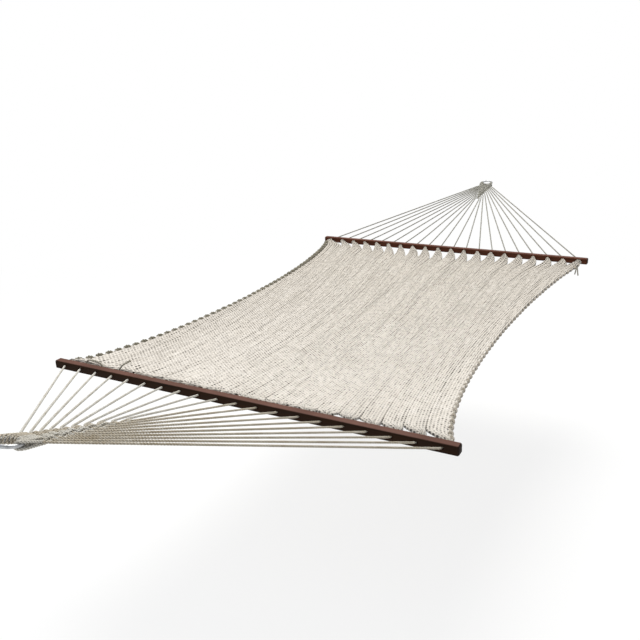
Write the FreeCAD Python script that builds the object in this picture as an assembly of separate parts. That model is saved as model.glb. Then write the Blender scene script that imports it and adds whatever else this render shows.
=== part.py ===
"""Rope hammock with two spreader bars.

Units are millimetres.  +X runs from the foot ring to the head ring, +Y to the left
and +Z up.  The origin is the point of the foot ring's eye that bears on the hook, and
the head ring bears on its hook on the same X axis, so the hammock swings about X.
"""
import FreeCAD
import Part
import math
import os

from FreeCAD import Vector

# Driving dimensions -------------------------------------------------------------
HOLE_COUNT = 20                 # holes in each spreader bar, one cord leg in each
HOLE_PITCH = 69.0
HOLE_DIAMETER = 9.0
BAR_LENGTH = 1397.0             # 55 in
BAR_SECTION = 28.0              # square
BAR_EDGE_RADIUS = 5.0
BAR_END_CHAMFER = 3.5
BAR_SPACING = 1970.0            # between the outer faces of the two bars

CORD_DIAMETER = 6.4             # three-strand clew rope
EDGE_ROPE_DIAMETER = 7.0
CLEW_RUN = 690.0                # level distance from the rope's seat on the ring to a bar
CLEW_RISE = 220.0               # height of that seat above the holes

RING_WIRE = 9.0
RING_RADIUS = 28.0              # to the middle of the wire

WEAVE_ROWS = 10                 # rows of the plaited clew, two legs leave at each
EVEN_ROWS = 4                   # the rows after these stand ever further apart
FOOT_ROWS = {"first": 61.0, "pitch": 24.0, "stretch": 1.9}  # first: from the ring's centre
HEAD_ROWS = {"first": 42.0, "pitch": 13.0, "stretch": 0.8}  # drawn up tighter
WEAVE_THICKNESS = 15.0
WEAVE_MOUTH_WIDTH = 67.0        # at the first row
WEAVE_TIP_WIDTH = 9.0           # at the last row

KNOT_DIAMETER = 18.0
KNOT_LENGTH = 14.0
LOOP_LENGTH = 72.0              # gathered loops, from the knots to the solid net
LOOP_TIP_WIDTH = 10.0
LOOP_GAP = 12.0                 # between two gathered loops where they join the net
NET_THICKNESS = 10.0
NET_END_HALF_WIDTH = 708.0      # the side edge's half width, carried on to the bars
NET_WAIST_PULL = 152.0          # how far each side edge is drawn in at mid length
NET_EDGE_POWER = 0.58
NET_EDGE_SKEW = 0.115           # the foot half is drawn in a little more
NET_EDGE_SAG = 32.0
NET_MIDDLE_SAG = 62.0
NET_SAG_POWER = 0.6             # below 1 the net drops more steeply beside the bars
NET_STATIONS = 21
EDGE_TO_ROPE = 4.5              # from the net's side face to the middle of the edge rope

BEND_RADIUS = 8.0               # of a clew cord at the mouth of its hole
TAIL_LENGTH = 56.0              # rope ends left hanging from a tied knot
BIGHT_HEIGHT = 15.0             # of the slack bight over its two knots
BODY_GAP = 0.8                  # between pieces on different bodies
TIE_GAP = 0.8                   # between a knot and a rope end tied at it

# Worked-out dimensions ----------------------------------------------------------
SLOPE = math.atan2(CLEW_RISE, CLEW_RUN)
DOWN = Vector(math.cos(SLOPE), 0, -math.sin(SLOPE))      # foot clew, ring to bar
NORMAL = Vector(math.sin(SLOPE), 0, math.cos(SLOPE))
RING_BORE = RING_RADIUS - RING_WIRE / 2
TURN_RADIUS = RING_WIRE / 2 + CORD_DIAMETER / 2 + 0.15
RING_CENTRE = DOWN * RING_BORE
SEAT = RING_CENTRE + DOWN * RING_RADIUS
BAR_OUTER_X = SEAT.x + CLEW_RUN
BAR_INNER_X = BAR_OUTER_X + BAR_SECTION
BAR_Z = SEAT.z - CLEW_RISE
HOOK_SPACING = 2 * BAR_OUTER_X + BAR_SPACING
NET_START_X = BAR_INNER_X + KNOT_LENGTH + LOOP_LENGTH
NET_END_X = HOOK_SPACING - NET_START_X
HOLE_YS = [HOLE_PITCH * ((HOLE_COUNT - 1) / 2 - i) for i in range(HOLE_COUNT)]
CORD_PAIRS = HOLE_COUNT // 2


def at_head(shape):
    """The same piece at the head end: turned half a turn about the middle's upright axis."""
    turned = shape.copy()
    turned.rotate(Vector(HOOK_SPACING / 2, 0, 0), Vector(0, 0, 1), 180)
    return turned


def group(solids):
    return Part.makeCompound(solids)


def save(name, shape):
    shape.exportStep("parts/" + name + ".step")
    solids = shape.Solids
    volume = sum(solid.Volume for solid in solids) / 1000.0
    print(f"{name:26s} solids {len(solids):3d}  volume {volume:9.2f} cm3  valid {shape.isValid()}")


def clew_point(distance, side=0.0):
    """A point of the foot clew's sloping plane, from the ring's centre."""
    return RING_CENTRE + DOWN * distance + Vector(0, side, 0)


def rope(points, diameter, largest_radius=None):
    """A tube along straight runs joined by tangent arcs."""
    path_edges = []
    start = points[0]
    for before, corner, after in zip(points, points[1:], points[2:]):
        incoming = (corner - before)
        outgoing = (after - corner)
        turn = incoming.getAngle(outgoing)
        if turn < 1e-4:
            continue
        radius = 0.45 * min(incoming.Length, outgoing.Length) / math.tan(turn / 2)
        if largest_radius:
            radius = min(radius, largest_radius)
        reach = radius * math.tan(turn / 2)
        incoming.normalize()
        outgoing.normalize()
        arc_start = corner - incoming * reach
        arc_end = corner + outgoing * reach
        bisector = (outgoing - incoming).normalize()
        arc_middle = corner + bisector * (radius / math.cos(turn / 2) - radius)
        path_edges.append(Part.LineSegment(start, arc_start).toShape())
        path_edges.append(Part.Arc(arc_start, arc_middle, arc_end).toShape())
        start = arc_end
    path_edges.append(Part.LineSegment(start, points[-1]).toShape())
    path = Part.Wire(path_edges)
    circle = Part.makeCircle(diameter / 2, points[0], points[1] - points[0])
    tube = path.makePipe(Part.Face(Part.Wire(circle)))
    return tube


def check_rope(name, tube, points, diameter):
    runs = sum((b - a).Length for a, b in zip(points, points[1:]))
    length = tube.Volume / (math.pi * diameter ** 2 / 4)
    print(f"    {name}: length {length:.1f} of {runs:.1f} along its points")


def section(x, half_width, z, thickness, y=0.0):
    """A rectangle across X, given by its middle."""
    low = z - thickness / 2
    high = z + thickness / 2
    corners = [(y - half_width, low), (y + half_width, low),
               (y + half_width, high), (y - half_width, high)]
    points = [Vector(x, corner_y, corner_z) for corner_y, corner_z in corners]
    return Part.makePolygon(points + points[:1])


# Rings and the rope turns on them -----------------------------------------------
def ring():
    return Part.makeTorus(RING_RADIUS, RING_WIRE / 2, RING_CENTRE, NORMAL)


def ring_turns():
    """Ten rope turns side by side round the bed side of the ring."""
    turn_angle = math.degrees((CORD_DIAMETER + 0.15) / (RING_RADIUS - TURN_RADIUS))
    turns = []
    for i in range(CORD_PAIRS):
        angle = math.radians(turn_angle * (i - (CORD_PAIRS - 1) / 2))
        outward = DOWN * math.cos(angle) + Vector(0, math.sin(angle), 0)
        along = Vector(0, math.cos(angle), 0) - DOWN * math.sin(angle)
        centre = RING_CENTRE + outward * RING_RADIUS
        turns.append(Part.makeTorus(TURN_RADIUS, CORD_DIAMETER / 2, centre, along))
    return group(turns)


# Clews --------------------------------------------------------------------------
def row_distance(rows, row):
    even = rows["first"] + rows["pitch"] * (row - 1)
    return even + rows["stretch"] * max(0, row - EVEN_ROWS) ** 2


def half_width_at(rows, distance):
    last = row_distance(rows, WEAVE_ROWS)
    from_tip = (last - distance) / (last - rows["first"])
    return (WEAVE_TIP_WIDTH + (WEAVE_MOUTH_WIDTH - WEAVE_TIP_WIDTH) * from_tip) / 2


def clew_weave(rows):
    """The plaited triangle, widest at the ring; its ends stand square to X."""
    turns_end_x = RING_CENTRE.x + RING_RADIUS * math.cos(SLOPE) + TURN_RADIUS + CORD_DIAMETER / 2
    start_x = turns_end_x + BODY_GAP
    start_distance = (start_x - RING_CENTRE.x) / math.cos(SLOPE)
    start = clew_point(start_distance)
    tip_distance = row_distance(rows, WEAVE_ROWS) + 6
    tip = clew_point(tip_distance)
    thickness = WEAVE_THICKNESS / math.cos(SLOPE)
    start_half_width = half_width_at(rows, start_distance)
    tip_half_width = half_width_at(rows, tip_distance)
    return Part.makeLoft([section(start.x, start_half_width, start.z, thickness),
                          section(tip.x, tip_half_width, tip.z, thickness)],
                         True, True)


def clew_leg(rows, hole):
    """One straight leg: out of the weave's side, to its hole, and through the bar."""
    side = 1 if hole < CORD_PAIRS else -1
    row = hole + 1 if side > 0 else HOLE_COUNT - hole
    distance = row_distance(rows, row)
    leave = clew_point(distance, side * (half_width_at(rows, distance) + CORD_DIAMETER))
    mouth = Vector(BAR_OUTER_X - BEND_RADIUS / 2, HOLE_YS[hole], BAR_Z)
    end = Vector(BAR_INNER_X, HOLE_YS[hole], BAR_Z)
    points = [leave, mouth, end]
    tube = rope(points, CORD_DIAMETER, BEND_RADIUS)
    return tube, points


def clew_cord(rows, pair):
    """A cord doubled over the ring: its two legs go to neighbouring holes."""
    legs = []
    for hole in (2 * pair, 2 * pair + 1):
        tube, points = clew_leg(rows, hole)
        check_rope(f"leg {hole + 1}", tube, points, CORD_DIAMETER)
        legs.append(tube)
    return group(legs)


# Bars and knots -----------------------------------------------------------------
def spreader_bar():
    corner = Vector(BAR_OUTER_X, -BAR_LENGTH / 2, BAR_Z - BAR_SECTION / 2)
    bar = Part.makeBox(BAR_SECTION, BAR_LENGTH, BAR_SECTION, corner)
    long_edges = [edge for edge in bar.Edges if edge.Length > BAR_SECTION * 2]
    bar = bar.makeFillet(BAR_EDGE_RADIUS, long_edges)
    end_edges = [edge for edge in bar.Edges
                 if abs(abs(edge.BoundBox.YMin) - BAR_LENGTH / 2) < 0.01
                 and edge.BoundBox.YLength < 0.01]
    bar = bar.makeChamfer(BAR_END_CHAMFER, end_edges)
    drills = [Part.makeCylinder(HOLE_DIAMETER / 2, BAR_SECTION + 2,
                                Vector(BAR_OUTER_X - 1, y, BAR_Z), Vector(1, 0, 0))
              for y in HOLE_YS]
    return bar.cut(group(drills)).Solids[0]


def knots():
    """A stopper knot behind each hole."""
    solids = []
    for y in HOLE_YS:
        knot = Part.makeCylinder(KNOT_DIAMETER / 2, KNOT_LENGTH,
                                 Vector(BAR_INNER_X, y, BAR_Z), Vector(1, 0, 0))
        solids.append(knot.makeFillet(KNOT_LENGTH * 0.3, knot.Edges))
    return group(solids)


# Net ----------------------------------------------------------------------------
def net_share(x):
    """0 at the foot bar's outer face, 1 at the head bar's."""
    return (x - BAR_OUTER_X) / BAR_SPACING


def bow(share):
    """0 at the bars, 1 at mid length."""
    return 4 * share * (1 - share)


def edge_half_width(x):
    """The middle of the edge rope, measured from the centre line."""
    share = net_share(x)
    skew = 1 - NET_EDGE_SKEW * (2 * share - 1)
    return NET_END_HALF_WIDTH - NET_WAIST_PULL * bow(share) ** NET_EDGE_POWER * skew


def net_half_width(x):
    return edge_half_width(x) - EDGE_TO_ROPE


def edge_z(x):
    return BAR_Z - NET_EDGE_SAG * bow(net_share(x)) ** NET_SAG_POWER


def middle_z(x):
    return BAR_Z - NET_MIDDLE_SAG * bow(net_share(x)) ** NET_SAG_POWER


def net_z(x, y):
    """Height of the net's middle surface: a shallow dish between its two side edges."""
    across = min(1.0, abs(y) / net_half_width(x))
    return middle_z(x) + (edge_z(x) - middle_z(x)) * across ** 2


def net_section(x):
    """A dished band across the net."""
    half = net_half_width(x)
    low = -NET_THICKNESS / 2
    high = NET_THICKNESS / 2
    sides = [(-half, edge_z(x)), (0.0, middle_z(x)), (half, edge_z(x))]
    under = [Vector(x, y, z + low) for y, z in sides]
    over = [Vector(x, y, z + high) for y, z in sides]
    return Part.Wire([Part.Arc(*under).toShape(),
                      Part.LineSegment(under[2], over[2]).toShape(),
                      Part.Arc(over[2], over[1], over[0]).toShape(),
                      Part.LineSegment(over[0], under[0]).toShape()])


def net_stations():
    return [NET_START_X + (NET_END_X - NET_START_X) * i / (NET_STATIONS - 1)
            for i in range(NET_STATIONS)]


def net():
    return Part.makeLoft([net_section(x) for x in net_stations()], True, True)


def loops(knot_end_x, net_x, gap):
    """The gathered loops between the knots and the net's solid part."""
    half_net = net_half_width(net_x)
    pitch = 2 * half_net / HOLE_COUNT
    direction = 1 if net_x > knot_end_x else -1
    wide_x = net_x - direction * gap
    solids = []
    for i, knot_y in enumerate(HOLE_YS):
        base_y = half_net - pitch * (i + 0.5)
        narrow = section(knot_end_x, LOOP_TIP_WIDTH / 2, BAR_Z, NET_THICKNESS, knot_y)
        wide = section(wide_x, (pitch - LOOP_GAP) / 2, net_z(net_x, base_y), NET_THICKNESS, base_y)
        solids.append(Part.makeLoft([narrow, wide], True, True))
    return group(solids)


# Edge ropes and loose ends ------------------------------------------------------
def knot_side(x, side):
    """Where an edge rope leaves the outermost knot."""
    outward = (KNOT_DIAMETER + EDGE_ROPE_DIAMETER) / 2 + 3 * TIE_GAP
    return Vector(x, side * (HOLE_YS[0] + outward), BAR_Z)


def edge_point(x, side):
    return Vector(x, side * edge_half_width(x), edge_z(x))


def edge_rope(side):
    points = [knot_side(BAR_INNER_X + KNOT_LENGTH / 2, side)]
    points.append(edge_point(NET_START_X - LOOP_LENGTH / 3, side))
    points += [edge_point(x, side) for x in net_stations()]
    tube = rope(points, EDGE_ROPE_DIAMETER)
    check_rope("edge rope", tube, points, EDGE_ROPE_DIAMETER)
    return tube


def head_edge_ends():
    """The last stretch of both edge ropes, beside the head loops."""
    tubes = []
    for side in (1, -1):
        points = [edge_point(NET_END_X + BODY_GAP, side)]
        points.append(edge_point(NET_END_X + LOOP_LENGTH / 2, side))
        points.append(knot_side(HOOK_SPACING - BAR_INNER_X - KNOT_LENGTH / 2, side))
        tubes.append(rope(points, EDGE_ROPE_DIAMETER))
    return group(tubes)


def head_tails():
    """Two short rope ends that hang from the head bar's right-hand knot."""
    knot_x = HOOK_SPACING - BAR_INNER_X - KNOT_LENGTH / 2
    y = HOLE_YS[-1]
    top = BAR_Z - KNOT_DIAMETER / 2 - TIE_GAP
    tails = []
    for lean, x_step in ((-1, -3.5), (1, 3.5)):
        points = [Vector(knot_x + x_step, y, top),
                  Vector(knot_x + x_step, y + lean * 2, top - TAIL_LENGTH * 0.4),
                  Vector(knot_x + 2.5 * x_step, y + lean * 9, top - TAIL_LENGTH)]
        tails.append(rope(points, CORD_DIAMETER))
    return group(tails)


def foot_tail():
    """A short rope end that stands up from the fourth knot over the net."""
    knot_x = BAR_INNER_X + KNOT_LENGTH / 2
    y = HOLE_YS[3] - 6
    top = BAR_Z + KNOT_DIAMETER / 2 + TIE_GAP
    points = [Vector(knot_x, y, top), Vector(knot_x + 1, y - 2, top + 8),
              Vector(knot_x + 14, y - 12, top + 19), Vector(knot_x + 30, y - 24, top + 24)]
    return rope(points, CORD_DIAMETER)


def foot_slack_loop():
    """A slack bight of rope from the second knot to the third, above the bar's back edge."""
    knot_x = BAR_INNER_X + KNOT_LENGTH / 2
    left = HOLE_YS[1]
    right = HOLE_YS[2]
    top = BAR_Z + KNOT_DIAMETER / 2 + TIE_GAP
    high = top + BIGHT_HEIGHT
    points = [Vector(knot_x, left, top), Vector(knot_x - 1, left - 3, top + 9),
              Vector(knot_x - 2, left - 16, high), Vector(knot_x - 2, right + 18, high),
              Vector(knot_x - 1, right + 3, top + 9), Vector(knot_x, right, top)]
    return rope(points, CORD_DIAMETER)


def main():
    os.makedirs("parts", exist_ok=True)
    both_ends = {"ring": ring(), "ring_turns": ring_turns(), "bar": spreader_bar(),
                 "knots": knots()}
    for name, shape in both_ends.items():
        save("foot_" + name, shape)
        save("head_" + name, at_head(shape))
    save("foot_clew_weave", clew_weave(FOOT_ROWS))
    save("head_clew_weave", at_head(clew_weave(HEAD_ROWS)))
    for pair in range(CORD_PAIRS):
        save(f"foot_clew_cord_{pair + 1:02d}", clew_cord(FOOT_ROWS, pair))
        save(f"head_clew_cord_{pair + 1:02d}", at_head(clew_cord(HEAD_ROWS, pair)))
    save("net", net())
    save("foot_loops", loops(BAR_INNER_X + KNOT_LENGTH, NET_START_X, 0.0))
    save("head_loops", loops(HOOK_SPACING - BAR_INNER_X - KNOT_LENGTH, NET_END_X, BODY_GAP))
    save("left_edge_rope", edge_rope(1))
    save("right_edge_rope", edge_rope(-1))
    save("head_edge_ends", head_edge_ends())
    save("head_tails", head_tails())
    save("foot_tail", foot_tail())
    save("foot_slack_loop", foot_slack_loop())
    print(f"hook to hook {HOOK_SPACING:.1f}, bar holes {BAR_Z:.1f} below the hooks")


main()
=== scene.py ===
import math

import bpy
import numpy as np
from mathutils import Matrix, Vector


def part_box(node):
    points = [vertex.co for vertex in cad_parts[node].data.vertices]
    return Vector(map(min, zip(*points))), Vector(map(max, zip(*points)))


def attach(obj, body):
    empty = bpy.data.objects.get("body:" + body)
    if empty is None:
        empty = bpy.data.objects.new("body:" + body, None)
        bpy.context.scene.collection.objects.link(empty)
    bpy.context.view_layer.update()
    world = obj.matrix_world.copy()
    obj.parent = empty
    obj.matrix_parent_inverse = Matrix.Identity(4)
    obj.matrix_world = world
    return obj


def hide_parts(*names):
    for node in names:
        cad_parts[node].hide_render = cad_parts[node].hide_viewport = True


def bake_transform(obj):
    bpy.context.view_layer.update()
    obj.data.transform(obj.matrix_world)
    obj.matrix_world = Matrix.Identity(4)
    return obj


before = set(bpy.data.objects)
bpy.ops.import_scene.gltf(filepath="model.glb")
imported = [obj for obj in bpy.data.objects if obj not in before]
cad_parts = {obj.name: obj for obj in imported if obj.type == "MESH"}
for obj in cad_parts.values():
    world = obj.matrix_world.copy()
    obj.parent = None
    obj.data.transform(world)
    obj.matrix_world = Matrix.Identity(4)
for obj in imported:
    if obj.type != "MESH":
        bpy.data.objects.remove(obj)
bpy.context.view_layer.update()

# Sizes, in metres ---------------------------------------------------------------
HOLE_COUNT = 20
HOLE_PITCH = 0.069
BAR_SPACING = 1.970  # between the outer faces of the two bars
CORD = 0.0064  # three-strand clew rope
EDGE_ROPE = 0.007
CORD_LAY = 0.021  # one full turn of the three strands
EDGE_LAY = 0.024
SECTIONS_PER_LAY = 8
RING_WIRE = 0.009
RING_RADIUS = 0.028
CLEW_RUN = 0.690
CLEW_RISE = 0.220
WEAVE_ROWS = 10
EVEN_ROWS = 4  # the rows after these stand ever further apart
FOOT_ROWS = {"first": 0.061, "pitch": 0.024, "stretch": 0.0019}  # first: from the ring's centre
HEAD_ROWS = {"first": 0.042, "pitch": 0.013, "stretch": 0.0008}  # drawn up tighter
WEAVE_MOUTH_WIDTH = 0.067  # at the first row
WEAVE_TIP_WIDTH = 0.009  # at the last row
MOUTH_DEPTH = 0.002  # of a leg's bend inside its hole
STRAIGHT = 6 * CORD  # how far from its bends a taut leg is straight
KNOT_LENGTH = 0.014
KNOT_DIAMETER = 0.018
LOOP_LENGTH = 0.072
NET_END_HALF_WIDTH = 0.708
NET_WAIST_PULL = 0.152  # how far the net's sides draw in halfway
NET_EDGE_POWER = 0.58
NET_EDGE_SKEW = 0.115
NET_EDGE_SAG = 0.032
NET_MIDDLE_SAG = 0.062
NET_SAG_POWER = 0.6
NET_STATIONS = 21  # control points of a side rope along the net
BIGHT_HEIGHT = 0.015
TAIL_LENGTH = 0.056
TIE_GAP = 0.0008
FLOOR_Z = -1.05
FLOOR_RADIUS = 40.0

SLOPE = math.atan2(CLEW_RISE, CLEW_RUN)
DOWN = Vector((math.cos(SLOPE), 0, -math.sin(SLOPE)))
ACROSS = Vector((0, 1, 0))
NORMAL = Vector((math.sin(SLOPE), 0, math.cos(SLOPE)))
RING_CLEARANCE = 0.00015
TURN_RADIUS = RING_WIRE / 2 + CORD / 2 + RING_CLEARANCE
BAR_LOW, BAR_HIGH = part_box("foot_bar")
BAR_OUTER_X = BAR_LOW.x
BAR_INNER_X = BAR_HIGH.x
BAR_Z = (BAR_LOW.z + BAR_HIGH.z) / 2
HOOK_SPACING = 2 * BAR_OUTER_X + BAR_SPACING
RING_CENTRE = DOWN * (RING_RADIUS - RING_WIRE / 2)
NET_START_X = BAR_INNER_X + KNOT_LENGTH + LOOP_LENGTH
NET_END_X = HOOK_SPACING - NET_START_X
HEAD_INNER_X = HOOK_SPACING - BAR_INNER_X
HOLE_YS = [HOLE_PITCH * ((HOLE_COUNT - 1) / 2 - i) for i in range(HOLE_COUNT)]
SCENE = bpy.context.scene


# Node groups and materials ------------------------------------------------------
def fill(tree, socket, value):
    """Sets an input to a value, or links it to another node's output."""
    if isinstance(value, bpy.types.NodeSocket):
        tree.links.new(value, socket)
    else:
        socket.default_value = value


def put(tree, kind, options=None, inputs=None):
    """Adds a node, sets its options and fills its inputs."""
    made = tree.nodes.new("ShaderNode" + kind)
    for name, value in (options or {}).items():
        setattr(made, name, value)
    for key, value in (inputs or {}).items():
        fill(tree, made.inputs[key], value)
    return made


def maths(tree, operation, first, second=None, third=None, clamp=False):
    inputs = {0: first}
    if second is not None:
        inputs[1] = second
    if third is not None:
        inputs[2] = third
    made = put(tree, "Math", {"operation": operation, "use_clamp": clamp}, inputs)
    return made.outputs[0]


def blend_colours(tree, share, first, second):
    """The first colour where the share is 0, the second where it is 1."""
    return put(tree, "Mix", {"data_type": "RGBA"}, {0: share, 6: first, 7: second}).outputs[2]


def ramp(tree, value, low=0.0, high=1.0, start=0.0, end=1.0):
    """Start below low, end above high, and an even change in between."""
    return put(tree, "MapRange", None, {0: value, 1: low, 2: high, 3: start, 4: end}).outputs[0]


def noise(tree, place, scale, detail, roughness=0.5):
    inputs = {"Vector": place, "Scale": scale, "Detail": detail, "Roughness": roughness}
    return put(tree, "TexNoise", None, inputs).outputs[0]


def object_place(tree):
    return put(tree, "TexCoord").outputs["Object"]


def parts_of(tree, vector):
    return put(tree, "SeparateXYZ", None, {0: vector}).outputs


def add_bump(tree, shader, height, strength, distance):
    bump = put(tree, "Bump", None, {"Strength": strength, "Distance": distance, "Height": height})
    tree.links.new(bump.outputs[0], shader.inputs["Normal"])


def new_group(name, inputs, outputs):
    """An empty node group with named inputs and outputs, and its two end nodes."""
    tree = bpy.data.node_groups.new(name, "ShaderNodeTree")
    for socket_name, kind, value in inputs:
        socket = tree.interface.new_socket(socket_name, in_out="INPUT", socket_type="NodeSocket" + kind)
        socket.default_value = value
    for socket_name, kind in outputs:
        tree.interface.new_socket(socket_name, in_out="OUTPUT", socket_type="NodeSocket" + kind)
    return tree, tree.nodes.new("NodeGroupInput").outputs, tree.nodes.new("NodeGroupOutput").inputs


def use_group(tree, group, **values):
    made = tree.nodes.new("ShaderNodeGroup")
    made.node_tree = group
    for name, value in values.items():
        fill(tree, made.inputs[name], value)
    return made.outputs


STRAND_COUNT = 3


def strand_group():
    """Laid rope, from a map that runs once round and once per lay: strand valleys and yarn lines."""
    inputs = [("Yarns", "Float", 18.0)]
    tree, given, out = new_group("laid strands", inputs, [("Valley", "Float"), ("Yarn", "Float")])
    split = parts_of(tree, put(tree, "UVMap", {"uv_map": "lay"}).outputs["UV"])
    in_strand = maths(tree, "FRACT", maths(tree, "MULTIPLY", split[0], STRAND_COUNT))
    from_tip = maths(tree, "ABSOLUTE", maths(tree, "MULTIPLY_ADD", in_strand, 2.0, -1.0))
    valley = maths(tree, "POWER", maths(tree, "SUBTRACT", 1.0, from_tip), 2.2)
    turn = maths(tree, "ADD", split[0], split[1])
    angle = maths(tree, "MULTIPLY", maths(tree, "MULTIPLY", turn, given["Yarns"]), 2 * math.pi)
    yarn = maths(tree, "MULTIPLY_ADD", maths(tree, "SINE", angle), 0.5, 0.5)
    tree.links.new(valley, out["Valley"])
    tree.links.new(yarn, out["Yarn"])
    return tree


def fibre_group():
    """Fine stray fibres and soft lumps, as a height."""
    inputs = [("Fineness", "Float", 900.0)]
    tree, given, out = new_group("stray fibres", inputs, [("Height", "Float")])
    place = object_place(tree)
    fine = noise(tree, place, given["Fineness"], 3.0)
    lumps = noise(tree, place, 160.0, 1.0)
    tree.links.new(maths(tree, "MULTIPLY_ADD", lumps, 0.6, fine), out["Height"])
    return tree


def weather_group():
    """Outdoor dirt and sun bleaching, in patches over a base colour."""
    inputs = [("Base", "Color", (1, 1, 1, 1)), ("Dirt", "Color", (0, 0, 0, 1)),
              ("Bleached", "Color", (1, 1, 1, 1)), ("Amount", "Float", 0.3), ("Scale", "Float", 6.0)]
    tree, given, out = new_group("weathering", inputs, [("Color", "Color"), ("Patch", "Float")])
    place = object_place(tree)
    patch = ramp(tree, noise(tree, place, given["Scale"], 4.0), 0.38, 0.66)
    speck_scale = maths(tree, "MULTIPLY", given["Scale"], 9.0)
    speck = ramp(tree, noise(tree, place, speck_scale, 2.0), 0.45, 0.7)
    dirt_share = maths(tree, "MULTIPLY", patch, given["Amount"])
    dirty = blend_colours(tree, dirt_share, given["Base"], given["Dirt"])
    bleached_share = maths(tree, "MULTIPLY", speck, given["Amount"])
    bleached = blend_colours(tree, bleached_share, dirty, given["Bleached"])
    tree.links.new(bleached, out["Color"])
    tree.links.new(patch, out["Patch"])
    return tree


STRANDS = strand_group()
FIBRES = fibre_group()
WEATHER = weather_group()


def new_material(name):
    made = bpy.data.materials.new(name)
    made.use_nodes = True
    return made, made.node_tree, made.node_tree.nodes["Principled BSDF"]


def soften(shader, sheen, gloss):
    """The faint fuzz of loose fibres in place of a shine."""
    shader.inputs["Sheen Weight"].default_value = sheen
    shader.inputs["Sheen Roughness"].default_value = 0.6
    shader.inputs["Specular IOR Level"].default_value = gloss


def rope_material(name, base, valley_shade_colour, dirt, bleached, amount, yarns):
    """Twisted rope: painted shade in the valleys and along the yarn lines, soft fibres and no gloss."""
    made, tree, shader = new_material(name)
    laid = use_group(tree, STRANDS, Yarns=yarns)
    fibres = use_group(tree, FIBRES, Fineness=1400.0)
    aged = use_group(tree, WEATHER, Base=base, Dirt=dirt, Bleached=bleached, Amount=amount, Scale=14.0)
    # Painted shade along the yarn lines and, darker, in the valleys between the strands.
    yarn_line_shade = maths(tree, "MULTIPLY", maths(tree, "SUBTRACT", 1.0, laid["Yarn"]), 0.22)
    yarned = blend_colours(tree, yarn_line_shade, aged["Color"], valley_shade_colour)
    valley_shade = maths(tree, "MULTIPLY", laid["Valley"], 0.8)
    colour = blend_colours(tree, valley_shade, yarned, valley_shade_colour)
    tree.links.new(colour, shader.inputs["Base Color"])
    height = maths(tree, "MULTIPLY_ADD", fibres["Height"], 0.5, laid["Yarn"])
    add_bump(tree, shader, height, 0.55, 0.0006)
    rough = ramp(tree, aged["Patch"], start=0.78, end=0.92)
    tree.links.new(rough, shader.inputs["Roughness"])
    soften(shader, 0.15, 0.25)
    return made


PIT_HALF_WIDTH = 0.30  # of a wale
PIT_HALF_LENGTH = 0.36  # of a course


def knit_pits(tree, wale, course):
    """A pit between each two stitches, where the knit's colour paints shadow, set back half a course on
    every other wale.
    """
    across = maths(tree, "ABSOLUTE", maths(tree, "SUBTRACT", maths(tree, "FRACT", wale), 0.5))
    between = maths(tree, "FLOOR", maths(tree, "ADD", wale, 0.5))
    set_back = maths(tree, "MULTIPLY", maths(tree, "MODULO", between, 2.0), 0.5)
    pit_course = maths(tree, "ADD", course, set_back)
    in_course = maths(tree, "FRACT", pit_course)
    side = maths(tree, "DIVIDE", maths(tree, "SUBTRACT", 0.5, across), PIT_HALF_WIDTH)
    along = maths(tree, "DIVIDE", maths(tree, "SUBTRACT", in_course, 0.5), PIT_HALF_LENGTH)
    away = maths(tree, "ADD", maths(tree, "MULTIPLY", side, side), maths(tree, "MULTIPLY", along, along))
    pit = maths(tree, "SUBTRACT", 1.15, away, clamp=True)
    stitch = put(tree, "CombineXYZ", None, {0: between, 1: maths(tree, "FLOOR", pit_course)}).outputs[0]
    chance = put(tree, "TexWhiteNoise", {"noise_dimensions": "2D"}, {"Vector": stitch}).outputs[0]
    return across, pit, chance


def knit_colour(tree, leg, pit, chance):
    """Cream cotton: greyer towards the head, with painted shade in its grooves and open streaks, and
    painted shadow darkest in its pits.
    """
    opened = put(tree, "Attribute", {"attribute_name": "opened"}).outputs["Fac"]
    along_bed = parts_of(tree, object_place(tree))[0]
    # Painted shadow in the pits: stronger at random stitches, where the knit is open and towards the
    # head.
    luck = maths(tree, "MULTIPLY_ADD", maths(tree, "POWER", chance, 2.0), 1.4, 0.45)
    reach = maths(tree, "MULTIPLY", luck, maths(tree, "MULTIPLY_ADD", opened, 1.9, 0.70))
    looser = ramp(tree, along_bed, 0.85, 1.6, 0.55, 1.0)
    pit_shade = maths(tree, "MULTIPLY", pit, maths(tree, "MULTIPLY", reach, looser), clamp=True)
    greyed = ramp(tree, along_bed, 0.8, 2.3, 0.0, 0.60)
    base = blend_colours(tree, greyed, (0.76, 0.71, 0.64, 1), (0.44, 0.40, 0.34, 1))
    aged = use_group(tree, WEATHER, Base=base, Dirt=(0.56, 0.51, 0.44, 1),
                     Bleached=(0.80, 0.76, 0.71, 1), Amount=0.35, Scale=5.0)
    groove = maths(tree, "MULTIPLY", maths(tree, "SUBTRACT", 1.0, leg), 0.5)
    varied_share = maths(tree, "MULTIPLY", chance, 0.28)
    varied = blend_colours(tree, varied_share, aged["Color"], (0.46, 0.41, 0.35, 1))
    # Painted shade in the grooves between the stitch legs.
    groove_shade_share = maths(tree, "MULTIPLY", groove, 0.42)
    groove_shaded = blend_colours(tree, groove_shade_share, varied, (0.26, 0.22, 0.17, 1))
    # Painted shade wherever the knit is open: its streaks, creases at the gaps and loose rows.
    streak_shade_share = maths(tree, "MULTIPLY", opened, 0.30)
    shaded = blend_colours(tree, streak_shade_share, groove_shaded, (0.27, 0.24, 0.19, 1))
    return blend_colours(tree, pit_shade, shaded, (0.035, 0.027, 0.018, 1))


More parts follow.
